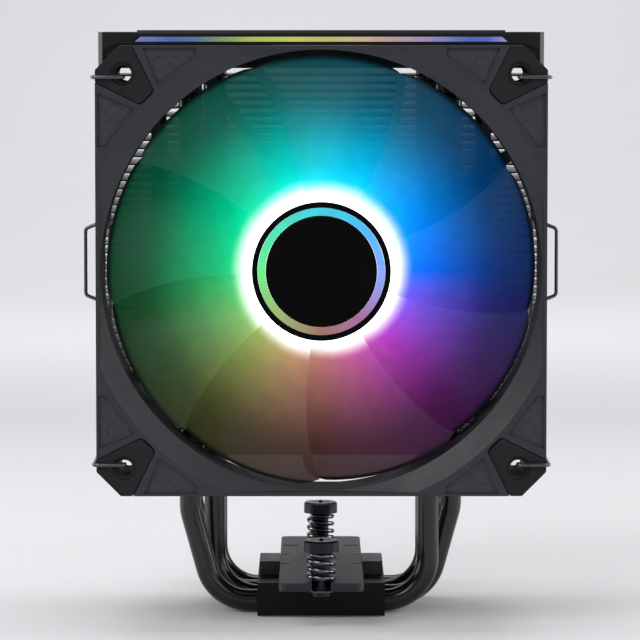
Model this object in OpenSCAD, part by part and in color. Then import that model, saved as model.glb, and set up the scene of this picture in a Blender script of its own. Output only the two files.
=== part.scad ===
// Single-tower CPU air cooler with one 120 mm fan.
// Origin: centre of the contact face of the base. +Z up, the fan blows towards +Y.

/* [Fan] */
// Width and height of the fan frame
fan_size = 120; // [119.6:0.1:120.4]
// Depth of the fan frame
fan_depth = 25; // [24.5:0.5:26]
// Distance between the corner holes
fan_holes = 105; // [104.8:0.1:105.2]
// Inner radius of the duct
duct_r = 58.9; // [57.6:0.1:59]
// Radius over the blade tips
tip_r = 56.8; // [55:0.1:57]
// Number of blades
blades = 9; // [7:1:11]
// Outer radius of the hub
hub_r = 18.5; // [18:0.1:19]
// Height of the fan's centre above the contact face
fan_z = 96.4; // [95:0.1:97]

/* [Fins] */
// Number of fins
fin_count = 49; // [45:1:49]
// Distance from fin to fin
fin_pitch = 2.2; // [2.1:0.05:2.2]
// Thickness of one fin
fin_t = 0.4; // [0.3:0.05:0.5]
// Height of the lowest fin
fin_z0 = 44.5; // [44:0.1:45]
// Half the depth of the fin stack
fin_y = 24; // [24:0.1:24.2]

/* [Heat pipes] */
// Outer radius of a heat pipe
pipe_r = 3; // [2.9:0.05:3]
// Distance between heat pipes
pipe_pitch = 9.2; // [8.5:0.1:9.4]
// Distance of the outer legs from the middle
leg_out = 36.1; // [35.8:0.1:36.4]
// Distance of the inner legs from the middle
leg_in = 29.5; // [29.2:0.1:29.6]
// Height of the pipe centre line under the base
pipe_z = 2.7; // [2.6:0.05:2.8]
// Height of the pipe ends
pipe_top = 155; // [153:0.5:156]

/* [Base] */
// Width of the base block
base_w = 35; // [34.5:0.1:35.4]
// Depth of the base block
base_d = 47; // [45:0.5:48]
// Height of the base block
base_h = 9.2; // [9:0.1:9.4]
// Width of the bridge plate
bridge_w = 22.8; // [22:0.1:23]
// Length of the bridge plate
bridge_l = 95; // [94:0.5:96]
// Distance of the mounting screws from the middle
screw_y = 41.5; // [41:0.1:42]

/* [Cover] */
// Half the width of the top cover
cover_x = 60.5; // [60.3:0.1:60.8]
// Half the depth of the top cover
cover_y = 24.6; // [24.4:0.1:24.8]
// Height of the cover's top above the contact face
cover_top = 160.4; // [160:0.1:161]

/* [Hidden] */
$fn = 64;
e = 0.01;
fh = fan_holes / 2;          // fan hole offset
fs = fan_size / 2;           // half fan size
fan_back = -(fin_y + 1);     // rear face of the fan frame
hole_r = 2.15;
br_z = 10.3;                 // underside of the bridge plate
br_t = 2.3;                  // thickness of the bridge plate
br_top = br_z + br_t;
head_z = 20.4;               // underside of the screw heads
cover_z0 = 151.2;            // lower edge of the cover
led_z0 = 157.3;
led_z1 = 158.6;

// ---------------------------------------------------------------- helpers
// copies for the four fan corners
module corners() { for (a = [0, 90, 180, 270]) rotate([0, 0, a]) children(); }
// fan frame of reference: z runs from the rear face (0) to the front face (fan_depth)
module at_fan() { translate([0, fan_back, fan_z]) rotate([90, 0, 0]) children(); }
// tube ring
module ring(ro, ri, h) { difference() { cylinder(r = ro, h = h); translate([0, 0, -1]) cylinder(r = ri, h = h + 2); } }
// slab with square edges cut at 45 degrees in plan
module bevel_rect(x, y, c) {
    polygon([[-x + c, -y], [x - c, -y], [x, -y + c], [x, y - c], [x - c, y], [-x + c, y], [-x, y - c], [-x, -y + c]]);
}
// rectangle with true round corners
module round_rect(x, y, r) {
    union() {
        square([2 * x - 2 * r, 2 * y], center = true);
        square([2 * x, 2 * y - 2 * r], center = true);
        for (i = [-1, 1], j = [-1, 1]) translate([i * (x - r), j * (y - r)]) circle(r = r);
    }
}

// ---------------------------------------------------------------- fins
pipe_rows = [-1.5, -0.5, 0.5, 1.5];
// +1: the left leg is the outer one, -1: the right leg is the outer one
function side_of(i) = (i % 2 == 0) ? 1 : -1;
module fin_plan() {
    difference() {
        // deep notches in the front and rear edges, in line with the pipe legs
        polygon([[-60, -fin_y + 5.5], [-49.6, -fin_y], [-39.9, -fin_y], [-39, -fin_y + 5.2], [-27.3, -fin_y + 5.2], [-26.4, -fin_y + 1.2],
                 [26.4, -fin_y + 1.2], [27.3, -fin_y + 5.2], [39, -fin_y + 5.2], [39.9, -fin_y], [49.6, -fin_y], [60, -fin_y + 5.5],
                 [60, -9], [58.6, -8], [58.6, -5], [60, -4],
                 [60, 4], [58.6, 5], [58.6, 8], [60, 9],
                 [60, fin_y - 5.5], [49.6, fin_y], [39.9, fin_y], [39, fin_y - 5.2], [27.3, fin_y - 5.2], [26.4, fin_y - 1.2],
                 [-26.4, fin_y - 1.2], [-27.3, fin_y - 5.2], [-39, fin_y - 5.2], [-39.9, fin_y], [-49.6, fin_y], [-60, fin_y - 5.5],
                 [-60, 9], [-58.6, 8], [-58.6, 5], [-60, 4],
                 [-60, -4], [-58.6, -5], [-58.6, -8], [-60, -9]]);
        for (i = [0:3]) {
            translate([-side_of(i) * leg_out, pipe_rows[i] * pipe_pitch]) circle(r = pipe_r + 0.06);
            translate([side_of(i) * leg_in, pipe_rows[i] * pipe_pitch]) circle(r = pipe_r + 0.06);
        }
    }
}
module fin_stack() {
    color("#17171a") union() {
        for (k = [0:fin_count - 1]) translate([0, 0, fin_z0 + k * fin_pitch]) linear_extrude(height = fin_t) fin_plan();
        // interlocked side tabs
        for (s = [-1, 1], y = [-17.5, 14.5]) translate([s * 59.6 - 0.4, y, fin_z0]) cube([0.8, 3, (fin_count - 1) * fin_pitch + fin_t]);
        // tabs on the front and rear edges, outside the pipe legs
        for (s = [-1, 1], y = [-1, 1]) translate([s * 45 - 1.2, y * (fin_y - 0.25) - 0.2, fin_z0]) cube([2.4, 0.4, (fin_count - 1) * fin_pitch + fin_t]);
    }
}

// ---------------------------------------------------------------- heat pipes
// one pipe along X: outer leg on -X, inner leg on +X
bend_r = 12;
lean = 15.5;
run_z = pipe_r + 0.02;       // centre line of the free run, outside the base
core_x = base_w / 2 - 0.2;   // half length of the part inside the base
function pipe_path() =
    let (zc = run_z, xo = -20, xi = leg_in - bend_r,
         x1 = xo - bend_r * cos(lean), z1 = zc + bend_r * (1 - sin(lean)),
         dx = bend_r * (1 - cos(lean)), len = (x1 + leg_out - dx) / sin(lean),
         x2 = x1 - len * sin(lean), z2 = z1 + len * cos(lean), z3 = z2 + bend_r * sin(lean))
    concat(
        [[-leg_out, 0, pipe_top + 2], [-leg_out, 0, pipe_top]],
        // upper bend, leaning part and lower bend of the outer leg
        [for (a = [0:lean / 3:lean]) [-leg_out + bend_r * (1 - cos(a)), 0, z3 - bend_r * sin(a)]],
        [for (a = [lean:(90 - lean) / 8:90]) [xo - bend_r * cos(a), 0, zc + bend_r * (1 - sin(a))]],
        // part pressed into the base
        [[-core_x, 0, zc], [-core_x + 2.3, 0, pipe_z], [core_x - 2.3, 0, pipe_z], [core_x, 0, zc]],
        // bend of the inner leg
        [for (a = [0:9:90]) [xi + bend_r * sin(a), 0, zc + bend_r * (1 - cos(a))]],
        [[leg_in, 0, pipe_top], [leg_in, 0, pipe_top + 2]]);
module pipe_solid() {
    p = pipe_path();
    n = len(p);
    difference() {
        tube(p, [for (i = [0:n - 1]) i == 0 || i == n - 1 ? 1.2 : pipe_r], 20, [0, 1, 0]);
        // milled flat of the contact face
        translate([-40, -10, -10]) cube([80, 20, 10]);
    }
}
module heat_pipe(i) {
    color("#1c1c1f") translate([0, pipe_rows[i] * pipe_pitch, 0])
        mirror([side_of(i) == 1 ? 0 : 1, 0, 0]) pipe_solid();
}
module heat_pipe_1() { heat_pipe(0); }
module heat_pipe_2() { heat_pipe(1); }
module heat_pipe_3() { heat_pipe(2); }
module heat_pipe_4() { heat_pipe(3); }

// ---------------------------------------------------------------- base
module base_block() {
    color("#26262a") difference() {
        translate([-base_w / 2, -base_d / 2, 0]) cube([base_w, base_d, base_h]);
        for (i = [0:3]) translate([0, pipe_rows[i] * pipe_pitch, 0]) {
            translate([-30, 0, pipe_z]) rotate([0, 90, 0]) cylinder(r = pipe_r + 0.03, h = 60);
            for (s = [-1, 1]) translate([s > 0 ? core_x - 2.5 : -base_w / 2 - 1, 0, run_z]) rotate([0, 90, 0]) cylinder(r = pipe_r + 0.03, h = 3.7);
        }
        for (s = [-1, 1]) translate([0, s * 6, 6]) cylinder(r = 1.28, h = 5);
        // two shallow fly cuts beside the cap
        for (s = [-1, 1]) translate([-base_w / 2 - 1, s * 15.5 - 0.4, base_h - 0.35]) cube([base_w + 2, 0.8, 1]);
    }
}
module base_cap() {
    color("#3a3a40") difference() {
        translate([-17.1, -8.5, base_h]) cube([34.2, 17, 3.9]);
        translate([-bridge_w / 2 - 0.03, -10, br_z]) cube([bridge_w + 0.06, 20, 5]);
        for (s = [-1, 1]) translate([0, s * 6, base_h - 1]) cylinder(r = 1.35, h = 5);
    }
}
module bridge_plan() {
    difference() {
        round_rect(bridge_w / 2, bridge_l / 2, 2.2);
        // open slots for the two mounting screws
        for (s = [-1, 1]) {
            translate([0, s * screw_y]) circle(r = 2.6);
            translate([-2.6, s > 0 ? screw_y : -screw_y - 10]) square([5.2, 10]);
        }
        // side notches beside the cap
        for (s = [-1, 1], t = [-1, 1]) translate([s * 10.3 - 1.6, t * 9.3 - 0.5]) square([3.2, 1]);
        // cross slots behind
        for (s = [-1, 1]) translate([s * 8.6 - 2.1, 27.2]) square([4.2, 1.5]);
        for (s = [-1, 1]) translate([0, s * 6]) circle(r = 1.35);
    }
}
module bridge_plate() {
    color("#44444b") union() {
        translate([0, 0, br_z]) linear_extrude(height = br_t) bridge_plan();
        for (s = [-1, 1]) translate([s * 9.3, -bridge_l / 2 + 1, br_z + br_t / 2]) rotate([90, 0, 0]) cylinder(r = 0.7, h = 1.25);
    }
}
module cross_recess(w, l, d) {
    translate([-l / 2, -w / 2, -d]) cube([l, w, d + 1]);
    translate([-w / 2, -l / 2, -d]) cube([w, l, d + 1]);
}
module bridge_screws() {
    color("#8d8d92") for (s = [-1, 1]) translate([0, s * 6, 0]) difference() {
        union() {
            translate([0, 0, 6.3]) cylinder(r = 1.25, h = br_top - 6.3 + 0.1);
            translate([0, 0, br_top]) cylinder(r = 2.6, h = 0.9);
            translate([0, 0, br_top + 0.9]) cylinder(r1 = 2.6, r2 = 2.0, h = 0.5);
        }
        translate([0, 0, br_top + 1.4]) cross_recess(0.5, 2.4, 0.9);
    }
}

// ---------------------------------------------------------------- spring screws
module mounting_screw(s) {
    color("#3b3b40") translate([0, s * screw_y, 0]) difference() {
        union() {
            translate([0, 0, head_z]) cylinder(r = 4.85, h = 2.7);
            translate([0, 0, head_z + 2.7]) cylinder(r1 = 4.85, r2 = 4.4, h = 0.45);
            translate([0, 0, 10.2]) cylinder(r = 2.35, h = head_z - 10.2 + e);
            translate([0, 0, 9.5 - e]) cylinder(r = 1.8, h = 0.7 + 2 * e);
            translate([0, 0, 8.3]) cylinder(r = 2.35, h = 1.2);
        }
        // threaded end, drawn as its core hole
        translate([0, 0, 7.3]) cylinder(r = 1.25, h = 7);
        translate([0, 0, head_z + 3.15]) cross_recess(1.0, 5.6, 1.7);
    }
}
module mounting_screw_front() { mounting_screw(-1); }
module mounting_screw_rear() { mounting_screw(1); }
module e_clip(s) {
    color("#77777c") translate([0, s * screw_y, 9.6]) linear_extrude(height = 0.5) difference() {
        circle(r = 3.7);
        circle(r = 1.87);
        translate([-0.9, 0]) square([1.8, 6]);
    }
}
module e_clip_front() { e_clip(-1); }
module e_clip_rear() { e_clip(1); }

// ---- tube swept along a path of points, with its frames carried from ring to ring
function unit(v) = v / norm(v);
function tang(p, i) = i == 0 ? unit(p[1] - p[0]) : i == len(p) - 1 ? unit(p[i] - p[i - 1]) : unit(unit(p[i + 1] - p[i]) + unit(p[i] - p[i - 1]));
function carry(u, t) = unit(u - (u * t) * t);
function frames(p, u, i = 0) = i == len(p) ? [] : let (w = carry(u, tang(p, i))) concat([w], frames(p, w, i + 1));
module tube(p, r, n, u0) {
    f = frames(p, u0);
    pts = [for (i = [0:len(p) - 1]) let (t = tang(p, i), u = f[i], v = cross(t, u))
           for (k = [0:n - 1]) p[i] + (is_list(r) ? r[i] : r) * (cos(360 * k / n) * u + sin(360 * k / n) * v)];
    m = len(p);
    polyhedron(points = pts, faces = concat(
        [[for (k = [0:n - 1]) k]],
        [[for (k = [0:n - 1]) (m - 1) * n + n - 1 - k]],
        [for (i = [0:m - 2], k = [0:n - 1]) [i * n + k, (i + 1) * n + k, (i + 1) * n + (k + 1) % n]],
        [for (i = [0:m - 2], k = [0:n - 1]) [i * n + k, (i + 1) * n + (k + 1) % n, i * n + (k + 1) % n]]));
}

// compression spring between the bridge plate and a screw head
sp_r = 3.45;
sp_w = 0.6;
sp_turns = 3.4;
sp_closed = 0.45;
sp_z0 = br_top + sp_w + 0.03;
sp_z1 = head_z - sp_w - 0.03;
function spring_z(t) = let (c = sp_closed * 1.3, m = (sp_z1 - sp_z0 - 2 * c) / (sp_turns - 2 * sp_closed))
    t < sp_closed ? sp_z0 + 1.3 * t
    : t > sp_turns - sp_closed ? sp_z1 - 1.3 * (sp_turns - t)
    : sp_z0 + c + m * (t - sp_closed);
module mounting_spring(s) {
    n = 68;
    color("#9a9aa0") translate([0, s * screw_y, 0])
        tube([for (i = [0:n]) let (t = sp_turns * i / n) [sp_r * cos(360 * t), -sp_r * sin(360 * t), spring_z(t)]], sp_w, 8, [0, 0, 1]);
}
module mounting_spring_front() { mounting_spring(-1); }
module mounting_spring_rear() { mounting_spring(1); }

// ---------------------------------------------------------------- cover
module cover_side(x, z1, z0) { polygon([[-x, z0], [x, z0], [x, z1], [-x, z1]]); }
module top_cover() {
    color("#1e1e21") difference() {
        union() {
            translate([0, 0, cover_z0 - 0.7]) linear_extrude(height = cover_top - 0.5 - cover_z0 + 0.7) bevel_rect(cover_x, cover_y, 1.1);
            // raised middle panel of the top
            translate([-50, -cover_y, cover_top - 0.6]) cube([100, 2 * cover_y, 0.6]);
        }
        // hollow, open below, with four screw posts left standing
        difference() {
            translate([-cover_x + 1.8, -cover_y + 2, cover_z0 - 2]) cube([2 * cover_x - 3.6, 2 * cover_y - 4, 9.7]);
            for (x = [-1, 1], y = [-1, 1]) translate([x * 54, y * 17, cover_z0 - 3]) cylinder(r = 3, h = 12);
        }
        // recessed fascia between the two bevelled ears
        translate([0, -cover_y + 1, 0]) rotate([90, 0, 0]) linear_extrude(height = 3)
            polygon([[-59, 150], [59, 150], [59, 155], [55.6, 156.7], [-55.6, 156.7], [-59, 155]]);
        // slot for the light strip
        translate([0, 0, 0]) rotate([90, 0, 0]) linear_extrude(height = 40) light_plan(0.03);
        // front edge of the middle panel
        translate([-51, -cover_y - 1, cover_top - 0.5]) rotate([-20, 0, 0]) cube([102, 2, 2]);
        // screw seats
        for (x = [-1, 1], y = [-1, 1]) translate([x * 54, y * 17, 0]) {
            translate([0, 0, cover_top - 2.1]) cylinder(r = 2.6, h = 5);
            translate([0, 0, cover_z0]) cylinder(r = 1.28, h = 12);
        }
    }
}
module light_plan(g) { polygon([[-50.5 - g, led_z0 - g], [50.5 + g, led_z0 - g], [49 + g, led_z1 + g], [-49 - g, led_z1 + g]]); }
module light_strip() {
    color("#dfe4ff") translate([0, -cover_y + 2.1, 0]) rotate([90, 0, 0]) linear_extrude(height = 2.3) light_plan(0);
}
module light_board() {
    color("#23402c") union() {
        translate([-51, -cover_y + 2.8, 156.4]) cube([102, 1, 2.5]);
        for (i = [0:11]) translate([-45.6 + i * 8.1, -cover_y + 2.25, 157.3]) cube([2.4, 0.6, 1.1]);
    }
}
module cover_screws() {
    color("#55555a") for (x = [-1, 1], y = [-1, 1]) translate([x * 54, y * 17, 0]) difference() {
        union() {
            translate([0, 0, cover_z0 + 0.4]) cylinder(r = 1.25, h = cover_top - 2.1 - cover_z0 - 0.4 + e);
            translate([0, 0, cover_top - 2.1]) cylinder(r = 2.5, h = 1.2);
        }
        translate([0, 0, cover_top - 1.6]) cylinder(r = 1.2, h = 3, $fn = 6);
    }
}

// ---------------------------------------------------------------- fan, fixed pieces
// corner pad outline, for the corner at +x +y, grown by g
module pad_plan(g) {
    polygon([[fs - 9.6 - g, fs + 1], [fs - 9.6 - g, fs], [fs - 15.4 - g, fs - 11.6 - g * 0.4], [fs - 14.9 - g, fs - 12.6 - g], [fs - 12.6 - g, fs - 14.9 - g],
             [fs - 11.6 - g * 0.4, fs - 15.4 - g], [fs, fs - 9.6 - g], [fs + 1, fs - 9.6 - g], [fs + 1, fs + 1]]);
}
module pocket_plan() {
    polygon([[fs - 12.6, fs - 0.6], [fs - 26.9, fs - 0.6], [fs - 26.9, fs - 2.7], [fs - 16.9, fs - 10.2], [fs - 16.2, fs - 9.4]]);
}
module fan_frame() {
    color("#35353b") at_fan() union() {
        difference() {
            union() {
                linear_extrude(height = 4.5) bevel_rect(fs, fs, 6.5);
                translate([0, 0, fan_depth - 4.5]) linear_extrude(height = 4.5) bevel_rect(fs, fs, 6.5);
                translate([0, 0, 4]) linear_extrude(height = fan_depth - 8) intersection() {
                    square([fan_size, fan_size], center = true);
                    circle(r = 61.4, $fn = 128);
                }
                corners() {
                    translate([fh, fh, 2]) cylinder(r = 4.4, h = fan_depth - 4);
                    rotate([0, 0, 45]) translate([58.8, -1.2, 2]) cube([12, 2.4, fan_depth - 4]);
                }
            }
            translate([0, 0, -1]) cylinder(r = duct_r, h = fan_depth + 2, $fn = 128);
            // inlet funnel, stopped by the thin side walls
            intersection() {
                translate([0, 0, fan_depth - 3.5]) cylinder(r1 = duct_r - 0.2, r2 = 66, h = 4.6, $fn = 128);
                translate([-fs + 1, -fs + 1, 10]) cube([fan_size - 2, fan_size - 2, 20]);
            }
            // outlet chamfer
            intersection() {
                translate([0, 0, -1]) cylinder(r1 = 61.5, r2 = duct_r - 0.2, h = 4, $fn = 128);
                translate([-fs + 1, -fs + 1, -10]) cube([fan_size - 2, fan_size - 2, 20]);
            }
            corners() {
                translate([fh, fh, -1]) cylinder(r = hole_r, h = fan_depth + 2);
                translate([0, 0, fan_depth - 2.5]) linear_extrude(height = 5) pad_plan(0.3);
                translate([0, 0, -2.5]) linear_extrude(height = 5) pad_plan(0.3);
                for (m = [0, 1]) multmatrix(m == 0 ? [[1, 0, 0, 0], [0, 1, 0, 0], [0, 0, 1, 0]] : [[0, 1, 0, 0], [1, 0, 0, 0], [0, 0, 1, 0]]) {
                    translate([0, 0, fan_depth - 1]) linear_extrude(height = 3) pocket_plan();
                    translate([fs - 17.6, fs - 5, fan_depth - 1.25]) cylinder(r = 2.3, h = 3);
                }
            }
            // notch for the cable gland in the rear flange
            translate([fs - 2.4, -44.1, -1]) cube([5, 6.2, 4.4]);
        }
        // motor seat, bearing tube and struts
        difference() {
            union() {
                translate([0, 0, 0.4]) cylinder(r = 19.6, h = 5);
                translate([0, 0, 2]) cylinder(r = 5, h = 16.4);
                for (a = [35, 125, 215, 305]) rotate([0, 0, a]) translate([15, -6, 0.4]) cube([45, a == 305 ? 5 : 3.2, 3.8]);
            }
            translate([0, 0, 2.6]) ring(18.2, 5, 5);
            translate([0, 0, 4.8]) cylinder(r = 4.02, h = 20);
            translate([0, 0, 2.6]) cylinder(r = 3, h = 3);
            translate([0, 0, -1]) cylinder(r = 18, h = 1.8);
        }
    }
}
module front_pads() {
    color("#232328") at_fan() corners() difference() {
        translate([0, 0, fan_depth - 2.48]) linear_extrude(height = 2.48) intersection() { pad_plan(0); bevel_rect(fs, fs, 6.5); }
        translate([fh, fh, 0]) cylinder(r = hole_r, h = fan_depth + 2);
        translate([fh, fh, fan_depth - 1]) cylinder(r = 3.15, h = 3);
    }
}
module rear_pads() {
    color("#232328") at_fan() corners() difference() {
        translate([0, 0, -0.99]) linear_extrude(height = 3.47) intersection() { pad_plan(0); bevel_rect(fs, fs, 7.3); }
        translate([fh, fh, -3]) cylinder(r = hole_r, h = 10);
    }
}
module cable_gland() {
    color("#111113") at_fan() difference() {
        translate([fs - 2.3, -44, 0.2]) cube([2.2, 6, 3.1]);
        translate([fs - 3, -41, 1.75]) rotate([0, 90, 0]) cylinder(r = 0.9, h = 5);
    }
}
module bearing_sleeve() { color("#b08a4a") at_fan() translate([0, 0, 4.8]) ring(4, 1.53, 13.2); }
module stator_core() {
    color("#6b6b70") at_fan() translate([0, 0, 9]) linear_extrude(height = 7) difference() {
        union() {
            circle(r = 7);
            for (a = [0:90:270]) rotate([0, 0, a]) {
                translate([0, -1.5]) square([12.6, 3]);
                intersection() {
                    difference() { circle(r = 13.6); circle(r = 11.9); }
                    polygon([[0, 0], [20, -13], [20, 13]]);
                }
            }
        }
        circle(r = 5.03);
    }
}
module stator_coils() {
    color("#b5653a") at_fan() for (a = [0:90:270]) rotate([0, 0, a]) difference() {
        translate([7.3, -3, 8]) cube([4.1, 6, 9]);
        translate([7, -1.53, 8.97]) cube([5, 3.06, 7.06]);
    }
}
module driver_board() {
    color("#1f3b2a") at_fan() union() {
        translate([0, 0, 2.62]) ring(17.6, 5.15, 1.18);
        for (a = [0:60:300]) rotate([0, 0, a]) translate([15, -1.2, 3.7]) cube([2, 2.4, 0.9]);
        translate([-3, 8, 3.7]) cube([6, 4, 1]);
    }
}
module fan_label() { color("#b9b9bd") at_fan() translate([0, 0, 0.45]) cylinder(r = 17.6, h = 0.35); }

// ---------------------------------------------------------------- fan, turning pieces
blade_tilt = 26;
module impeller() {
    color("#cfe6ee") at_fan() union() {
        translate([0, 0, 6.5]) difference() {
            cylinder(r = hub_r, h = 16.5);
            translate([0, 0, -1]) cylinder(r = hub_r - 1.5, h = 16.3);
        }
        for (k = [0:blades - 1]) rotate([0, 0, k * 360 / blades]) intersection() {
            translate([0, 0, 4]) linear_extrude(height = 20) intersection() {
                difference() { circle(r = tip_r, $fn = 128); circle(r = hub_r - 0.6); }
                polygon([[0, 0], [80, -80 * tan(148 / blades)], [80, 80 * tan(148 / blades)]]);
            }
            translate([36, 0, 14]) rotate([blade_tilt, 0, 0]) cube([50, 60, 1.4], center = true);
        }
    }
}
module hub_cap() {
    color("#0b0b0d") at_fan() rotate_extrude() polygon([[0, 23], [14.85, 23], [14.85, 23.8], [14.3, 24.2], [0, 24.2]]);
}
module hub_light_ring() { color("#d8f2ff") at_fan() translate([0, 0, 23]) ring(16.95, 14.9, 1.1); }
module hub_band() { color("#0d0d10") at_fan() translate([0, 0, 23]) ring(hub_r, 17, 1.35); }
module rotor_yoke() {
    color("#808086") at_fan() difference() {
        translate([0, 0, 7.5]) cylinder(r = 16.9, h = 14.3);
        translate([0, 0, 6]) cylinder(r = 15.6, h = 14.6);
        translate([0, 0, 15]) cylinder(r = 1.5, h = 10);
    }
}
module magnet_ring() { color("#3a3836") at_fan() translate([0, 0, 8]) ring(15.58, 14.1, 12); }
module rotor_shaft() {
    color("#c9c9ce") at_fan() union() {
        translate([0, 0, 4.6]) cylinder(r = 1.5, h = 17.2);
        translate([0, 0, 3.8]) cylinder(r = 1.1, h = 0.8 + e);
        translate([0, 0, 3.2]) cylinder(r = 1.5, h = 0.6 + e);
    }
}
module shaft_clip() {
    color("#77777c") at_fan() translate([0, 0, 3.95]) linear_extrude(height = 0.5) difference() {
        circle(r = 2.6);
        circle(r = 1.12);
        translate([0, -0.5]) square([4, 1]);
    }
}

// ---------------------------------------------------------------- wire clips
wire_r = 0.5;
wire_x = 60.7;
groove_y = -6.5;
loop_x = 65.2;
// corner of a path rounded to radius q
function round_corner(a, b, c, q, n) =
    let (u = unit(a - b), v = unit(c - b), k = q * tan((180 - acos(u * v)) / 2),
         o = b + unit(u + v) * q / sin(acos(u * v) / 2), s = b + u * k - o, t = b + v * k - o, w = acos((s * t) / (q * q)))
    [for (i = [0:n]) o + (sin(w * (1 - i / n)) * s + sin(w * i / n) * t) / sin(w)];
wire_hook = 2.2;
wire_yf = fan_back - fan_depth - wire_r - 0.15;
wire_z = fh - 0.9;            // the spring pulls its ends to the inner side of the holes
wire_pts = [
    [fh, wire_yf + wire_r + 0.15 + wire_hook, fan_z + wire_z], [fh, wire_yf, fan_z + wire_z], [wire_x, wire_yf, fan_z + wire_z],
    [wire_x, groove_y, fan_z + wire_z], [wire_x, groove_y, fan_z + wire_z - 3.2], [59.35, groove_y, fan_z + wire_z - 6.4],
    [59.35, groove_y, fan_z + 11.6], [loop_x, groove_y, fan_z + 9.2], [loop_x, groove_y, fan_z - 9.2], [59.35, groove_y, fan_z - 11.6],
    [59.35, groove_y, fan_z - wire_z + 6.4], [wire_x, groove_y, fan_z - wire_z + 3.2], [wire_x, groove_y, fan_z - wire_z],
    [wire_x, wire_yf, fan_z - wire_z], [fh, wire_yf, fan_z - wire_z], [fh, wire_yf + wire_r + 0.15 + wire_hook, fan_z - wire_z]];
wire_path = concat([wire_pts[0]],
    [for (i = [1:len(wire_pts) - 2]) each round_corner(wire_pts[i - 1], wire_pts[i], wire_pts[i + 1], i == 1 || i == len(wire_pts) - 2 ? 0.8 : 1.2, 4)],
    [wire_pts[len(wire_pts) - 1]]);
module wire_clip_right() { color("#8b8b90") tube(wire_path, wire_r, 8, [0, 0, 1]); }
module wire_clip_left() { color("#8b8b90") mirror([1, 0, 0]) tube(wire_path, wire_r, 8, [0, 0, 1]); }

fin_stack();
heat_pipe_1();
heat_pipe_2();
heat_pipe_3();
heat_pipe_4();
base_block();
base_cap();
bridge_plate();
bridge_screws();
mounting_screw_front();
mounting_screw_rear();
mounting_spring_front();
mounting_spring_rear();
e_clip_front();
e_clip_rear();
top_cover();
light_strip();
light_board();
cover_screws();
fan_frame();
front_pads();
rear_pads();
cable_gland();
impeller();
hub_cap();
hub_light_ring();
hub_band();
rotor_yoke();
magnet_ring();
rotor_shaft();
shaft_clip();
bearing_sleeve();
stator_core();
stator_coils();
driver_board();
fan_label();
wire_clip_left();
wire_clip_right();
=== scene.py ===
import bpy, math, random
from mathutils import Vector, Matrix, Quaternion


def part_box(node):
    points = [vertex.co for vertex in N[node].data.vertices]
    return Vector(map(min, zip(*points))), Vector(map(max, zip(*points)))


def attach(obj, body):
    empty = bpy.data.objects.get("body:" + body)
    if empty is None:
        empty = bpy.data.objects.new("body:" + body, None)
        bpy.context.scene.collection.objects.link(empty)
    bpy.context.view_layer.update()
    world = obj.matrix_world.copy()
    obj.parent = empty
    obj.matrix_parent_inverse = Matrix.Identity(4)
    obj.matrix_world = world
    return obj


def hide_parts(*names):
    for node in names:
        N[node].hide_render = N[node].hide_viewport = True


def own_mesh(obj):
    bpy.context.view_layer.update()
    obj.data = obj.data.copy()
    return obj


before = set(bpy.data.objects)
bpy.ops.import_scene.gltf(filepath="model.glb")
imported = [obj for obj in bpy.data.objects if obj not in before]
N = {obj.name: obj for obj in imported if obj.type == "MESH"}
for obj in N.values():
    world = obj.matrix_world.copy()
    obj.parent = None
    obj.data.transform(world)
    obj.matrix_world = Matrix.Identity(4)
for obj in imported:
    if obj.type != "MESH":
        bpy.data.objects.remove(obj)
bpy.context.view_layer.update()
MM = 0.001
random.seed(7)


# ------------------------------------------------------------------ mesh helpers
def mesh_object(name, verts, faces, smooth=True):
    me = bpy.data.meshes.new(name)
    me.from_pydata([tuple(v) for v in verts], [], faces)
    me.validate()
    me.update()
    if smooth:
        me.polygons.foreach_set("use_smooth", [True] * len(me.polygons))
    o = bpy.data.objects.new(name, me)
    bpy.context.scene.collection.objects.link(o)
    return o


def joined(parts):
    verts, faces = [], []
    for v, f in parts:
        k = len(verts)
        verts += list(v)
        faces += [tuple(i + k for i in q) for q in f]
    return verts, faces


def sweep(path, radius, sides=20, up=Vector((0, 0, 1)), cap=True, floor=None):
    """Closed tube along a list of points; radius is a number or a list. Points below floor are pressed flat."""
    p = [Vector(q) for q in path]
    n = len(p)
    tan = []
    for i in range(n):
        a = p[max(i - 1, 0)]
        b = p[min(i + 1, n - 1)]
        if 0 < i < n - 1:
            t = (p[i + 1] - p[i]).normalized() + (p[i] - p[i - 1]).normalized()
        else:
            t = b - a
        tan.append(t.normalized())
    u = Vector(up)
    verts, faces = [], []
    for i in range(n):
        u = (u - u.dot(tan[i]) * tan[i]).normalized()
        v = tan[i].cross(u)
        r = radius[i] if isinstance(radius, (list, tuple)) else radius
        for k in range(sides):
            a = 2 * math.pi * k / sides
            q = p[i] + r * (math.cos(a) * u + math.sin(a) * v)
            if floor is not None and q.z < floor:
                q.z = floor
            verts.append(q)
    for i in range(n - 1):
        for k in range(sides):
            a, b = i * sides + k, i * sides + (k + 1) % sides
            faces.append((a, b, b + sides, a + sides))
    if cap:
        faces.append(tuple(range(sides - 1, -1, -1)))
        faces.append(tuple((n - 1) * sides + k for k in range(sides)))
    return verts, faces


def arc(c, r, a0, a1, n, plane="xz", off=0.0):
    out = []
    for i in range(n + 1):
        a = math.radians(a0 + (a1 - a0) * i / n)
        out.append(Vector((c[0] + r * math.cos(a), off, c[1] + r * math.sin(a))))
    return out


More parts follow.
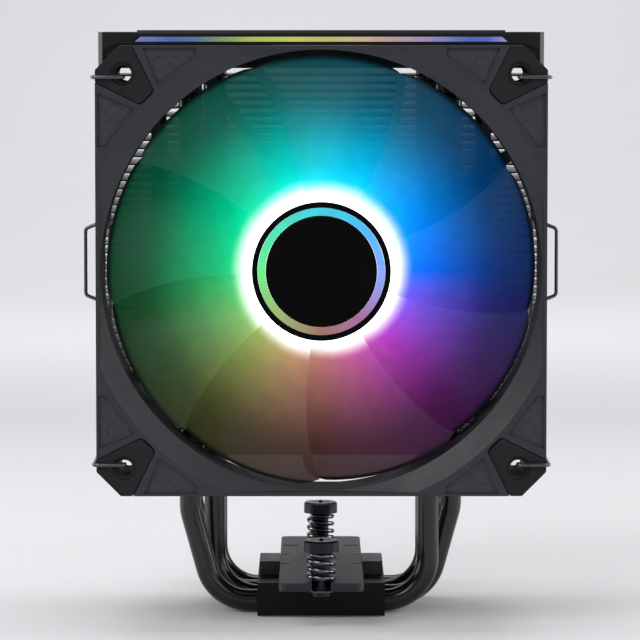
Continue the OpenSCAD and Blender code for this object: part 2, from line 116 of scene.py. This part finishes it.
def round_path(pts, radii, seg=8):
    """Polyline with its corners rounded."""
    p = [Vector(q) for q in pts]
    out = [p[0]]
    for i in range(1, len(p) - 1):
        u = (p[i - 1] - p[i]).normalized()
        v = (p[i + 1] - p[i]).normalized()
        ang = u.angle(v)
        q = radii[i] if isinstance(radii, (list, tuple)) else radii
        k = q / math.tan(ang / 2)
        o = p[i] + (u + v).normalized() * q / math.sin(ang / 2)
        s, t = p[i] + u * k - o, p[i] + v * k - o
        w = s.angle(t)
        for j in range(seg + 1):
            f = j / seg
            out.append(o + (s * math.sin(w * (1 - f)) + t * math.sin(w * f)) / math.sin(w))
    out.append(p[-1])
    return out


def lathe(profile, seg=96, closed=True, close_profile=True):
    """Profile of (r, z) in fan coordinates turned about the fan axis; returns verts in fan coordinates."""
    verts, faces = [], []
    m = len(profile)
    for k in range(seg):
        a = 2 * math.pi * k / seg
        for r, z in profile:
            verts.append(Vector((r * math.cos(a), r * math.sin(a), z)))
    for k in range(seg):
        j = (k + 1) % seg
        rng = range(m) if close_profile else range(m - 1)
        for i in rng:
            i2 = (i + 1) % m
            faces.append((k * m + i, j * m + i, j * m + i2, k * m + i2))
    return verts, faces


# fan coordinates: x right, y up, z towards the front (-Y), in mm
fan_lo, fan_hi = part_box("fan_frame")
FAN_Z = (fan_lo.z + fan_hi.z) / 2
FAN_BACK = fan_hi.y


def from_fan(v):
    return Vector((v.x * MM, FAN_BACK - v.z * MM, FAN_Z + v.y * MM))


# ------------------------------------------------------------------ material helpers
class Mat:
    def __init__(self, name, color, rough, metal=0.0, spec=0.5, coat=0.0, coat_rough=0.1, ior=None):
        self.m = bpy.data.materials.new(name)
        self.m.use_nodes = True
        self.nt = self.m.node_tree
        self.b = self.nt.nodes["Principled BSDF"]
        self.set("Base Color", (*color, 1))
        self.set("Roughness", rough)
        self.set("Metallic", metal)
        self.set("Specular IOR Level", spec)
        self.set("Coat Weight", coat)
        self.set("Coat Roughness", coat_rough)
        if ior:
            self.set("IOR", ior)
        self.color = color
        self._tc = None

    def set(self, k, v):
        self.b.inputs[k].default_value = v

    def node(self, kind, **kw):
        n = self.nt.nodes.new(kind)
        for k, v in kw.items():
            setattr(n, k, v)
        return n

    def link(self, a, b):
        self.nt.links.new(a, b)

    def obj(self):
        if not self._tc:
            self._tc = self.node("ShaderNodeTexCoord")
        return self._tc.outputs["Object"]

    def mapped(self, scale=(1, 1, 1), loc=(0, 0, 0), rot=(0, 0, 0)):
        mp = self.node("ShaderNodeMapping")
        self.link(self.obj(), mp.inputs["Vector"])
        mp.inputs["Scale"].default_value = scale
        mp.inputs["Location"].default_value = loc
        mp.inputs["Rotation"].default_value = rot
        return mp.outputs["Vector"]

    def noise(self, scale, detail=3, rough=0.5, vec=None):
        n = self.node("ShaderNodeTexNoise")
        self.link(vec or self.obj(), n.inputs["Vector"])
        n.inputs["Scale"].default_value = scale
        n.inputs["Detail"].default_value = detail
        n.inputs["Roughness"].default_value = rough
        return n.outputs["Fac"]

    def voronoi(self, scale, vec=None, feature="F1"):
        n = self.node("ShaderNodeTexVoronoi", feature=feature)
        self.link(vec or self.obj(), n.inputs["Vector"])
        n.inputs["Scale"].default_value = scale
        return n.outputs["Distance"]

    def remap(self, fac, lo, hi, a=0.0, b=1.0, kind="LINEAR"):
        n = self.node("ShaderNodeMapRange", interpolation_type=kind)
        self.link(fac, n.inputs["Value"])
        n.inputs["From Min"].default_value = lo
        n.inputs["From Max"].default_value = hi
        n.inputs["To Min"].default_value = a
        n.inputs["To Max"].default_value = b
        return n.outputs["Result"]

    def ramp(self, fac, stops, interp="LINEAR"):
        n = self.node("ShaderNodeValToRGB")
        self.link(fac, n.inputs["Fac"])
        r = n.color_ramp
        r.interpolation = interp
        while len(r.elements) > 1:
            r.elements.remove(r.elements[-1])
        r.elements[0].position = stops[0][0]
        r.elements[0].color = (*stops[0][1], 1)
        for p, c in stops[1:]:
            e = r.elements.new(p)
            e.color = (*c, 1)
        return n.outputs["Color"]

    def math(self, op, a, b=None, c=None):
        n = self.node("ShaderNodeMath", operation=op)
        for i, v in enumerate((a, b, c)):
            if v is None:
                continue
            if isinstance(v, (int, float)):
                n.inputs[i].default_value = v
            else:
                self.link(v, n.inputs[i])
        return n.outputs[0]

    def mix(self, fac, a, b):
        n = self.node("ShaderNodeMix", data_type="RGBA")
        if isinstance(fac, (int, float)):
            n.inputs["Factor"].default_value = fac
        else:
            self.link(fac, n.inputs["Factor"])
        for sock, v in ((n.inputs[6], a), (n.inputs[7], b)):
            if isinstance(v, tuple):
                sock.default_value = (*v, 1)
            else:
                self.link(v, sock)
        return n.outputs[2]

    def bump(self, height, strength, dist, prev=None):
        n = self.node("ShaderNodeBump")
        n.inputs["Strength"].default_value = strength
        n.inputs["Distance"].default_value = dist
        self.link(height, n.inputs["Height"])
        if prev:
            self.link(prev, n.inputs["Normal"])
        self.link(n.outputs["Normal"], self.b.inputs["Normal"])
        return n.outputs["Normal"]

    def vary(self, scale, amount, rough_amount=0.05, detail=4):
        """Slow colour and gloss variation."""
        f = self.noise(scale, detail)
        c = self.color
        lo = tuple(max(0, x * (1 - amount)) for x in c)
        hi = tuple(min(1, x * (1 + amount)) for x in c)
        self.link(self.ramp(f, [(0.3, lo), (0.7, hi)]), self.b.inputs["Base Color"])
        r = self.b.inputs["Roughness"].default_value
        g = self.noise(scale * 2.3, detail)
        self.link(self.remap(g, 0.3, 0.7, r - rough_amount, r + rough_amount), self.b.inputs["Roughness"])
        return self


def brushed(name, color, rough, along, fine=2200, metal=1.0, amount=0.12, spec=0.5):
    """Metal with fine lines along one axis (0 x, 1 y, 2 z)."""
    m = Mat(name, color, rough, metal, spec)
    s = [fine, fine, fine]
    s[along] = fine / 60
    f = m.noise(1.0, 3, 0.6, m.mapped(scale=tuple(s)))
    lo = tuple(x * (1 - amount) for x in color)
    hi = tuple(min(1, x * (1 + amount)) for x in color)
    m.link(m.ramp(f, [(0.35, lo), (0.65, hi)]), m.b.inputs["Base Color"])
    m.link(m.remap(f, 0.3, 0.7, rough - 0.06, rough + 0.08), m.b.inputs["Roughness"])
    m.bump(f, 0.15, 0.00004)
    return m


# ---- plastics, paints and metals
m_frame = Mat("charcoal_plastic", (0.0165, 0.0165, 0.0215), 0.50, 0.0, 0.42).vary(60, 0.10, 0.05)
sp = m_frame.noise(4200, 2, 0.7)
sp2 = m_frame.voronoi(2600)
m_frame.bump(sp, 0.35, 0.00006, m_frame.bump(sp2, 0.18, 0.00005))

# the pockets beside the corner pads are a little lighter and coarser
fsep = m_frame.node("ShaderNodeSeparateXYZ")
m_frame.link(m_frame.obj(), fsep.inputs[0])
fdz = m_frame.math("SUBTRACT", fsep.outputs[2], FAN_Z)
frad = m_frame.math("SQRT", m_frame.math("ADD", m_frame.math("MULTIPLY", fdz, fdz), m_frame.math("MULTIPLY", fsep.outputs[0], fsep.outputs[0])))
pocket = m_frame.math("MULTIPLY", m_frame.math("GREATER_THAN", frad, 0.0648),
                      m_frame.math("MULTIPLY", m_frame.math("GREATER_THAN", fsep.outputs[1], FAN_BACK - 0.0243), m_frame.math("LESS_THAN", fsep.outputs[1], FAN_BACK - 0.0235)))
for l in list(m_frame.nt.links):
    if l.to_socket == m_frame.b.inputs["Base Color"]:
        src = l.from_socket
        m_frame.nt.links.remove(l)
grit = m_frame.ramp(m_frame.noise(1500, 3, 0.7), [(0.35, (0.016, 0.0175, 0.023)), (0.65, (0.029, 0.032, 0.041))])
m_frame.link(m_frame.mix(pocket, src, grit), m_frame.b.inputs["Base Color"])

m_pad = Mat("black_rubber", (0.0070, 0.0066, 0.0088), 0.66, 0.0, 0.26).vary(90, 0.14, 0.06)
m_pad.bump(m_pad.noise(3600, 3, 0.7), 0.28, 0.00005)

m_cover = Mat("cover_plastic", (0.0055, 0.0055, 0.0065), 0.40, 0.0, 0.32).vary(50, 0.05, 0.02)
m_cover.bump(m_cover.noise(5200, 2, 0.6), 0.22, 0.00004)

m_fin = Mat("fin_coat", (0.009, 0.009, 0.011), 0.28, 0.0, 0.5, coat=0.15, coat_rough=0.12).vary(45, 0.15, 0.05)
m_fin.bump(m_fin.noise(900, 2, 0.5), 0.05, 0.00004)

m_pipe = Mat("pipe_plating", (0.0065, 0.0065, 0.0085), 0.20, 0.0, 0.42, coat=0.12, coat_rough=0.10).vary(70, 0.12, 0.03)
pn = m_pipe.noise(1.0, 3, 0.6, m_pipe.mapped(scale=(1800, 1800, 60)))
m_pipe.bump(pn, 0.10, 0.00003)
# bare copper where the contact face was milled
pz = m_pipe.node("ShaderNodeSeparateXYZ")
m_pipe.link(m_pipe.obj(), pz.inputs[0])
pmask = m_pipe.remap(pz.outputs[2], 0.00002, 0.00009, 1.0, 0.0)
for l in list(m_pipe.nt.links):
    if l.to_socket == m_pipe.b.inputs["Base Color"]:
        src = l.from_socket
        m_pipe.nt.links.remove(l)
m_pipe.link(m_pipe.mix(pmask, src, (0.62, 0.30, 0.17)), m_pipe.b.inputs["Base Color"])
m_pipe.link(m_pipe.remap(pmask, 0, 1, 0.0, 1.0), m_pipe.b.inputs["Metallic"])

m_base = Mat("anodised_base", (0.0050, 0.0050, 0.0060), 0.48, 0.15, 0.30).vary(80, 0.10, 0.04)
bn = m_base.noise(1.0, 3, 0.6, m_base.mapped(scale=(60, 2600, 2600)))
m_base.bump(bn, 0.16, 0.00004)
# milled bare aluminium underside with fly cutter lines
bz = m_base.node("ShaderNodeSeparateXYZ")
m_base.link(m_base.obj(), bz.inputs[0])
bmask = m_base.remap(bz.outputs[2], 0.00002, 0.00009, 1.0, 0.0)
for l in list(m_base.nt.links):
    if l.to_socket == m_base.b.inputs["Base Color"]:
        src = l.from_socket
        m_base.nt.links.remove(l)
m_base.link(m_base.mix(bmask, src, (0.72, 0.72, 0.74)), m_base.b.inputs["Base Color"])
m_base.link(m_base.remap(bmask, 0, 1, 0.55, 1.0), m_base.b.inputs["Metallic"])

m_cap = Mat("milled_cap", (0.030, 0.030, 0.036), 0.46, 0.4, 0.45).vary(120, 0.10, 0.05)
m_cap.bump(m_cap.noise(1.0, 3, 0.6, m_cap.mapped(scale=(2400, 70, 2400))), 0.16, 0.00004)
m_plate = Mat("coated_plate", (0.0100, 0.0108, 0.0150), 0.50, 0.05, 0.36).vary(30, 0.04, 0.02)
m_plate.bump(m_plate.noise(3600, 2, 0.6), 0.08, 0.00003)

m_screw = Mat("black_nickel", (0.026, 0.026, 0.031), 0.32, 1.0).vary(260, 0.08, 0.03)
m_bright = brushed("bright_steel", (0.55, 0.55, 0.57), 0.26, 0)
m_spring = brushed("spring_wire", (0.13, 0.13, 0.145), 0.20, 0, fine=1500)
m_wire = Mat("clip_wire", (0.10, 0.10, 0.11), 0.26, 1.0).vary(400, 0.06, 0.03)
m_yoke = brushed("yoke_steel", (0.45, 0.45, 0.47), 0.32, 1)
m_core = brushed("core_laminations", (0.28, 0.28, 0.29), 0.42, 0, fine=2600)
m_sleeve = brushed("bearing_metal", (0.60, 0.45, 0.25), 0.38, 1)
m_copper = brushed("copper_winding", (0.66, 0.29, 0.15), 0.30, 0, fine=3400)
m_magnet = Mat("bonded_magnet", (0.055, 0.053, 0.050), 0.55, 0.3).vary(300, 0.2, 0.08)
m_board = Mat("circuit_board", (0.020, 0.085, 0.045), 0.38, 0.0, 0.5, coat=0.3).vary(400, 0.15, 0.05)
m_label = Mat("blank_label", (0.32, 0.32, 0.34), 0.35, 0.6).vary(200, 0.06, 0.04)
m_hub = Mat("hub_black", (0.0010, 0.0010, 0.0015), 0.60, 0.0, 0.05).vary(120, 0.2, 0.05)
m_hub.bump(m_hub.noise(2600, 2, 0.6), 0.08, 0.00003)


# ---- glow materials: hue by the angle round the hub, brightness by the distance from it; the hub ring is the LED lamp, the glow on the blades and hub shell is painted light from it
HUES = [(0.0000, (0.000, 0.150, 1.000)),
        (0.0625, (0.000, 0.258, 1.030)),
        (0.1250, (0.000, 0.371, 1.030)),
        (0.1900, (0.000, 0.552, 0.920)),
        (0.2500, (0.000, 0.640, 0.800)),
        (0.3100, (0.000, 0.684, 0.562)),
        (0.3750, (0.000, 0.640, 0.339)),
        (0.4400, (0.000, 0.560, 0.235)),
        (0.5000, (0.005, 0.500, 0.165)),
        (0.5600, (0.105, 0.420, 0.113)),
        (0.6250, (0.259, 0.360, 0.090)),
        (0.6900, (0.370, 0.229, 0.104)),
        (0.7500, (0.380, 0.137, 0.125)),
        (0.8100, (0.420, 0.076, 0.252)),
        (0.8750, (0.384, 0.038, 0.480)),
        (0.9400, (0.187, 0.072, 0.720)),
        (1.0000, (0.000, 0.150, 1.000))]


def polar(m):
    s = m.node("ShaderNodeSeparateXYZ")
    m.link(m.obj(), s.inputs[0])
    dz = m.math("SUBTRACT", s.outputs[2], FAN_Z)
    ang = m.math("ARCTAN2", dz, s.outputs[0])
    turn = m.math("FRACT", m.math("DIVIDE", ang, 2 * math.pi))
    r2 = m.math("ADD", m.math("MULTIPLY", dz, dz), m.math("MULTIPLY", s.outputs[0], s.outputs[0]))
    return turn, m.math("SQRT", r2)


RING_HUES = [(0.0, (0.20, 0.36, 0.95)), (0.12, (0.02, 0.45, 0.90)), (0.25, (0.01, 0.57, 0.70)), (0.375, (0.03, 0.72, 0.45)), (0.50, (0.08, 0.82, 0.20)), (0.62, (0.30, 0.42, 0.12)),
             (0.75, (0.30, 0.115, 0.085)), (0.86, (0.34, 0.10, 0.28)), (0.93, (0.28, 0.22, 0.65)), (1.0, (0.20, 0.36, 0.95))]


def led_and_painted_glow(name, base, rough, white_in, white_out, levels, alpha=None, tint=0.0, spec=0.5, hues=None):
    m = Mat(name, base, rough, 0.0, spec)
    turn, rad = polar(m)
    hue = m.ramp(turn, hues or HUES)
    # white core near the hub: on the blades and hub shell this is painted glow
    white = m.remap(rad, white_in, white_out, 1.0, 0.0, "SMOOTHSTEP")
    col = m.mix(white, hue, (0.95, 1.0, 0.98))
    m.link(col, m.b.inputs["Emission Color"])
    lv = m.node("ShaderNodeFloatCurve")
    c = lv.mapping.curves[0]
    top = max(v for _, v in levels)
    rmax = 0.060
    pts = [(r / rmax, v / top) for r, v in levels]
    c.points[0].location = pts[0]
    c.points[1].location = pts[-1]
    for p in pts[1:-1]:
        c.points.new(*p)
    lv.mapping.update()
    m.link(m.math("DIVIDE", rad, rmax), lv.inputs["Value"])
    glow_mottle = m.remap(m.noise(220, 2), 0.3, 0.7, 0.94, 1.06)
    m.link(m.math("MULTIPLY", m.math("MULTIPLY", lv.outputs[0], top), glow_mottle), m.b.inputs["Emission Strength"])
    if tint:
        m.link(m.mix(tint, base, hue), m.b.inputs["Base Color"])
    if alpha is not None:
        if isinstance(alpha, tuple):
            thin = m.remap(rad, 0.020, 0.050, alpha[0], alpha[1])
            m.link(m.math("MAXIMUM", thin, m.remap(rad, 0.0558, 0.0566, 0.0, 0.98)), m.b.inputs["Alpha"])
        else:
            m.set("Alpha", alpha)
    m.bump(m.noise(1600, 2, 0.5), 0.05, 0.00003)
    return m


# blades: painted glow from the hub LEDs, bright near the hub and fading to dark tips
m_blade_painted_glow = led_and_painted_glow("blade_painted_glow", (0.004, 0.007, 0.008), 0.45, 0.0180, 0.0248,
              [(0.0, 3.0), (0.0185, 3.2), (0.0205, 2.3), (0.0235, 1.45), (0.0275, 1.05), (0.033, 0.72), (0.038, 0.47), (0.046, 0.19), (0.054, 0.10), (0.0558, 0.085), (0.0570, 0.012), (0.060, 0.010)],
              alpha=(0.97, 0.84), tint=0.0, spec=0.12)
# hub shell: painted glow from the hub LEDs
m_hubshell_painted_glow = led_and_painted_glow("hub_shell_painted_glow", (0.2, 0.24, 0.24), 0.4, 0.0195, 0.0285, [(0.0, 1.8), (0.018, 2.2), (0.060, 1.2)])
m_ring = led_and_painted_glow("lit_hub_ring", (0.05, 0.06, 0.06), 0.35, 0.001, 0.004, [(0.0, 1.0), (0.016, 1.0), (0.060, 1.0)], hues=RING_HUES, spec=0.2)

m_strip = Mat("light_strip", (0.02, 0.02, 0.022), 0.40, 0.0, 0.2)
ss = m_strip.node("ShaderNodeSeparateXYZ")
m_strip.link(m_strip.obj(), ss.inputs[0])
sx = m_strip.remap(ss.outputs[0], -0.0505, 0.0505, 0.0, 1.0)
STRIP = [(0.0, (110, 115, 168)), (0.05, (92, 108, 170)), (0.10, (68, 94, 162)), (0.17, (80, 112, 140)), (0.25, (128, 150, 92)), (0.336, (165, 182, 78)),
         (0.417, (182, 190, 88)), (0.497, (184, 182, 100)), (0.578, (186, 172, 118)), (0.659, (188, 156, 146)), (0.739, (165, 138, 160)), (0.82, (122, 122, 180)),
         (0.90, (70, 98, 178)), (0.95, (78, 96, 182)), (1.0, (150, 145, 205))]
sc = m_strip.ramp(sx, [(t, tuple((c / 255) ** 2.2 for c in col)) for t, col in STRIP])
m_strip.link(sc, m_strip.b.inputs["Emission Color"])
m_strip.link(m_strip.remap(m_strip.noise(130, 2), 0.3, 0.7, 0.95, 1.12), m_strip.b.inputs["Emission Strength"])


SHARP = {"fan_frame": 21, "top_cover": 21, "front_pads": 24, "rear_pads": 24, "bridge_plate": 26, "base_cap": 26, "base_block": 26}


def finish_node(o, mat, bevel=None, seg=2, angle=32, smooth=38):
    smooth = SHARP.get(o.name, smooth)
    angle = SHARP.get(o.name, angle)
    o.data.materials.clear()
    o.data.materials.append(mat.m)
    me = o.data
    me.polygons.foreach_set("use_smooth", [True] * len(me.polygons))
    w = o.modifiers.new("weld", "WELD")
    w.merge_threshold = 0.000002
    if bevel:
        b = o.modifiers.new("edges", "BEVEL")
        b.width = bevel * MM
        b.segments = seg
        b.limit_method = "ANGLE"
        b.angle_limit = math.radians(angle)
        b.harden_normals = True
        b.use_clamp_overlap = True
    e = o.modifiers.new("split", "EDGE_SPLIT")
    e.split_angle = math.radians(smooth)
    e.use_edge_sharp = False
    wn = o.modifiers.new("flat_normals", "WEIGHTED_NORMAL")
    wn.mode = "FACE_AREA"
    wn.weight = 50


FINISH = {
    "fin_stack": (m_fin, None), "base_block": (m_base, 0.25), "base_cap": (m_cap, 0.25), "bridge_plate": (m_plate, 0.22),
    "bridge_screws": (m_bright, 0.1), "mounting_screw_front": (m_screw, None), "mounting_screw_rear": (m_screw, None),
    "e_clip_front": (m_wire, 0.08), "e_clip_rear": (m_wire, 0.08), "top_cover": (m_cover, 0.2), "light_strip": (m_strip, 0.08),
    "light_board": (m_board, None), "cover_screws": (m_screw, 0.12), "fan_frame": (m_frame, 0.22), "front_pads": (m_pad, 0.2),
    "rear_pads": (m_pad, 0.2), "cable_gland": (m_pad, 0.12), "hub_cap": (m_hub, 0.12), "hub_light_ring": (m_ring, 0.1), "hub_band": (m_hub, 0.12),
    "rotor_yoke": (m_yoke, 0.1), "magnet_ring": (m_magnet, 0.1), "rotor_shaft": (m_bright, 0.08), "shaft_clip": (m_bright, None),
    "bearing_sleeve": (m_sleeve, 0.1), "stator_core": (m_core, None), "stator_coils": (m_copper, 0.3), "driver_board": (m_board, None),
    "fan_label": (m_label, None)}
for name, (mat, bev) in FINISH.items():
    finish_node(N[name], mat, bev)

# ------------------------------------------------------------------ impeller
HUB_R, TIP_R, BLADES = 18.5, 57.4, 9


def blade(k):
    nu, nv = 26, 18
    grid = []
    for i in range(nu + 1):
        u = i / nu
        r = 18.0 + (TIP_R - 18.0) * u
        # angular width, backward sweep and axial height along the span
        width = math.radians(43.5 - 0.5 * u)
        sweep_a = math.radians(13 * u ** 1.5 - 5 * u)
        height = 14.6 + 1.6 * math.sin(math.pi * min(u * 1.1, 1.0)) - 2.6 * u ** 3
        row = []
        for j in range(nv + 1):
            v = j / nv
            a = 2 * math.pi * k / BLADES + sweep_a + (v - 0.5) * width
            # slow start at the front edge, steeper to the back: a cambered section
            s = v + 0.16 * math.sin(math.pi * v) * (1 - 0.3 * u)
            z = 14.2 + (s - 0.5) * height
            # rounded tip corners
            rr = r
            if u > 0.9:
                edge = abs(2 * v - 1)
                rr -= max(0.0, edge - 0.72) ** 2 * 18 * ((u - 0.9) / 0.1)
            row.append(Vector((rr * math.cos(a), rr * math.sin(a), z)))
        grid.append(row)
    verts, faces = [], []
    n = (nu + 1) * (nv + 1)
    idx = lambda i, j, side: side * n + i * (nv + 1) + j
    nor = []
    for i in range(nu + 1):
        for j in range(nv + 1):
            du = grid[min(i + 1, nu)][j] - grid[max(i - 1, 0)][j]
            dv = grid[i][min(j + 1, nv)] - grid[i][max(j - 1, 0)]
            nor.append(du.cross(dv).normalized())
    for side in (0, 1):
        for i in range(nu + 1):
            for j in range(nv + 1):
                u, v = i / nu, j / nv
                th = (0.95 - 0.35 * u) * (0.30 + 0.70 * math.sin(math.pi * (0.08 + 0.84 * v)) ** 0.6)
                if i == nu:
                    th *= 0.55
                verts.append(grid[i][j] + nor[i * (nv + 1) + j] * th * (0.5 if side == 0 else -0.5) * 1.5)
    for i in range(nu):
        for j in range(nv):
            faces.append((idx(i, j, 0), idx(i + 1, j, 0), idx(i + 1, j + 1, 0), idx(i, j + 1, 0)))
            faces.append((idx(i, j, 1), idx(i, j + 1, 1), idx(i + 1, j + 1, 1), idx(i + 1, j, 1)))
    for i in range(nu):
        faces.append((idx(i, 0, 0), idx(i, 0, 1), idx(i + 1, 0, 1), idx(i + 1, 0, 0)))
        faces.append((idx(i, nv, 0), idx(i + 1, nv, 0), idx(i + 1, nv, 1), idx(i, nv, 1)))
    for j in range(nv):
        faces.append((idx(0, j, 0), idx(0, j + 1, 0), idx(0, j + 1, 1), idx(0, j, 1)))
        faces.append((idx(nu, j, 0), idx(nu, j, 1), idx(nu, j + 1, 1), idx(nu, j + 1, 0)))
    return verts, faces


v, f = joined([blade(k) for k in range(BLADES)])
blades = mesh_object("impeller_blades", [from_fan(q) for q in v], f)
blades.data.materials.append(m_blade_painted_glow.m)
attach(blades, "rotor")
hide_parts("impeller")

prof = [(17.0, 6.5), (18.3, 6.5), (18.5, 6.7), (18.5, 22.5), (18.3, 22.9), (18.0, 22.98), (1.6, 22.98), (1.6, 21.85), (16.9, 21.85), (17.0, 21.7)]
v, f = lathe(prof)
shell = mesh_object("impeller_hub", [from_fan(q) for q in v], f)
shell.data.materials.append(m_hubshell_painted_glow.m)
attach(shell, "rotor")
for o in (blades, shell):
    e = o.modifiers.new("split", "EDGE_SPLIT")
    e.split_angle = math.radians(50)

# ------------------------------------------------------------------ heat pipes
PITCH, R_PIPE, OUT, IN, BEND, LEAN = 9.2, 3.0, 36.1, 29.5, 12.0, 15.5
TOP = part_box("heat_pipe_1")[1].z / MM


def pipe_points():
    zc, xo, xi = R_PIPE + 0.02, -20.0, IN - BEND
    cl, sl = math.cos(math.radians(LEAN)), math.sin(math.radians(LEAN))
    x1, z1 = xo - BEND * cl, zc + BEND * (1 - sl)
    dx = BEND * (1 - cl)
    ln = (x1 + OUT - dx) / sl
    x2, z2 = x1 - ln * sl, z1 + ln * cl
    z3 = z2 + BEND * sl
    p = [Vector((-OUT, 0, TOP - 2 * k / 6)) for k in range(0, 7)]
    p += [Vector((-OUT, 0, z)) for z in (120, 80, z3 + 6)]
    for i in range(7):
        a = math.radians(LEAN * i / 6)
        p.append(Vector((-OUT + BEND * (1 - math.cos(a)), 0, z3 - BEND * math.sin(a))))
    for i in range(19):
        a = math.radians(LEAN + (90 - LEAN) * i / 18)
        p.append(Vector((xo - BEND * math.cos(a), 0, zc + BEND * (1 - math.sin(a)))))
    p += [Vector((x, 0, z)) for x, z in ((-18.6, zc), (-17.3, zc), (-16.6, zc - 0.08), (-15.6, 2.75), (-15, 2.7), (0, 2.7), (15, 2.7), (15.6, 2.75), (16.6, zc - 0.08), (17.3, zc))]
    for i in range(21):
        a = math.radians(90 * i / 20)
        p.append(Vector((xi + BEND * math.sin(a), 0, zc + BEND * (1 - math.cos(a)))))
    p += [Vector((IN, 0, z)) for z in (22, 80, 120)]
    p += [Vector((IN, 0, TOP - 2 + 2 * k / 6)) for k in range(0, 7)]
    return p


for i in range(4):
    side = 1 if i % 2 == 0 else -1
    y = (i - 1.5) * PITCH
    pts = pipe_points()
    n = len(pts)
    rad = [R_PIPE] * n
    for k in range(7):
        # closed, spun-in ends
        r = R_PIPE * math.sqrt(max(0.0, 1 - ((6 - k) / 6.0) ** 2 * 0.84))
        rad[k] = r
        rad[n - 1 - k] = r
    path = [Vector((p.x * side, y, p.z)) for p in pts]
    v, f = sweep(path, rad, 36, Vector((0, 1, 0)), floor=0.0)
    if side < 0:
        pass
    o = mesh_object("heat_pipe_smooth_%d" % (i + 1), [q * MM for q in v], f)
    o.data.materials.append(m_pipe.m)
    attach(o, "tower")
    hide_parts("heat_pipe_%d" % (i + 1))

# ------------------------------------------------------------------ springs
SP_R, SP_W, TURNS, CLOSED = 3.42, 0.63, 3.4, 0.45
PL_TOP = 12.6
HEAD = 20.4
Z0, Z1 = PL_TOP + 0.63, HEAD - 0.63


def spring_z(t):
    c = CLOSED * 1.3
    m = (Z1 - Z0 - 2 * c) / (TURNS - 2 * CLOSED)
    if t < CLOSED:
        return Z0 + 1.3 * t
    if t > TURNS - CLOSED:
        return Z1 - 1.3 * (TURNS - t)
    return Z0 + c + m * (t - CLOSED)


for nm, y, joint in (("front", -41.5, "screw_front_press"), ("rear", 41.5, "screw_rear_press")):
    n = 260
    zs = [spring_z(TURNS * i / n) for i in range(n + 1)]
    for _ in range(6):
        zs = [zs[0]] + [(zs[i - 1] + 2 * zs[i] + zs[i + 1]) / 4 for i in range(1, n)] + [zs[-1]]
    path = [Vector((SP_R * math.cos(2 * math.pi * TURNS * i / n), y - SP_R * math.sin(2 * math.pi * TURNS * i / n), zs[i])) for i in range(n + 1)]
    rad = [SP_W] * (n + 1)
    for k in range(3):
        rad[k] = rad[n - k] = SP_W * (0.6, 0.85, 0.96)[k]
    v, f = sweep(path, rad, 14, Vector((0, 0, 1)))
    o = mesh_object("coil_spring_" + nm, [q * MM for q in v], f)
    o.data.materials.append(m_spring.m)
    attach(o, "tower")
    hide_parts("mounting_spring_" + nm)
    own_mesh(o)

# ------------------------------------------------------------------ wire clips
FH, WZ, FZ, WX, GY, LX = 52.5, 51.6, FAN_Z / MM, 60.7, -6.5, 65.2
WY = FAN_BACK / MM - 25 - 0.65
pts = [(FH, WY + 2.85, FZ + WZ), (FH, WY, FZ + WZ), (WX, WY, FZ + WZ), (WX, GY, FZ + WZ), (WX, GY, FZ + WZ - 3.2), (59.35, GY, FZ + WZ - 6.4),
       (59.35, GY, FZ + 11.6), (LX, GY, FZ + 9.2), (LX, GY, FZ - 9.2), (59.35, GY, FZ - 11.6),
       (59.35, GY, FZ - WZ + 6.4), (WX, GY, FZ - WZ + 3.2), (WX, GY, FZ - WZ), (WX, WY, FZ - WZ), (FH, WY, FZ - WZ), (FH, WY + 2.85, FZ - WZ)]
for nm, s in (("left", -1), ("right", 1)):
    path = round_path([Vector((x * s, y, z)) for x, y, z in pts], [1.2] + [0.8] + [1.2] * 12 + [0.8] + [1.2], 10)
    v, f = sweep(path, 0.5, 16, Vector((0, 0, 1)))
    o = mesh_object("spring_clip_" + nm, [q * MM for q in v], f)
    o.data.materials.append(m_wire.m)
    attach(o, "clip_" + nm)
    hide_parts("wire_clip_" + nm)

# ------------------------------------------------------------------ stage, lights, camera
m_floor = Mat("studio_floor", (0.62, 0.62, 0.635), 0.65, 0.0, 0.3).vary(3, 0.02, 0.03)
prof = [(-2.5, 0.0), (1.2, 0.0)] + [(1.2 + 0.9 * math.sin(math.radians(a)), 0.9 - 0.9 * math.cos(math.radians(a))) for a in range(6, 91, 6)] + [(2.1, 3.2)]
verts = [Vector((x, y, z - 0.0002)) for x in (-4, 4) for y, z in prof]
k = len(prof)
faces = [(i, i + k, i + k + 1, i + 1) for i in range(k - 1)]
floor = mesh_object("studio_floor", verts, faces)
floor.data.materials.append(m_floor.m)


def area(name, loc, target, size, power, color=(1, 1, 1), size_y=None):
    l = bpy.data.lights.new(name, "AREA")
    l.energy = power
    l.color = color
    l.shape = "RECTANGLE"
    l.size = size
    l.size_y = size_y or size
    o = bpy.data.objects.new(name, l)
    bpy.context.scene.collection.objects.link(o)
    o.location = loc
    d = Vector(target) - Vector(loc)
    o.rotation_euler = d.to_track_quat("-Z", "Y").to_euler()
    return o


C = (0, 0, 0.09)
area("key", (-0.55, -0.75, 0.85), C, 0.7, 7)
area("fill", (0.8, -0.7, 0.5), C, 0.8, 3.5)
area("side_left", (-0.8, 0.05, 0.25), C, 0.25, 4.5, size_y=0.7)
area("side_right", (0.8, 0.05, 0.25), C, 0.25, 4.5, size_y=0.7)
area("top", (0, 0.25, 1.0), C, 0.8, 6)
area("back", (0, 1.0, 0.9), (0, 1.9, 0.4), 1.2, 10)

w = bpy.data.worlds.new("studio_world")
bpy.context.scene.world = w
bpy.context.scene.view_settings.view_transform = "Standard"
w.use_nodes = True
bg = w.node_tree.nodes["Background"]
bg.inputs["Color"].default_value = (0.80, 0.81, 0.83, 1)
bg.inputs["Strength"].default_value = 0.38

cam = bpy.data.cameras.new("camera")
cam.lens = 213.93
cam.sensor_width = 36
cam.clip_start = 0.05
cam.clip_end = 20
co = bpy.data.objects.new("camera", cam)
bpy.context.scene.collection.objects.link(co)
co.location = (-0.0025, -1.0583, 0.1611)
co.rotation_euler = (math.radians(90 - 4.397), 0, math.radians(-0.121))
bpy.context.scene.camera = co
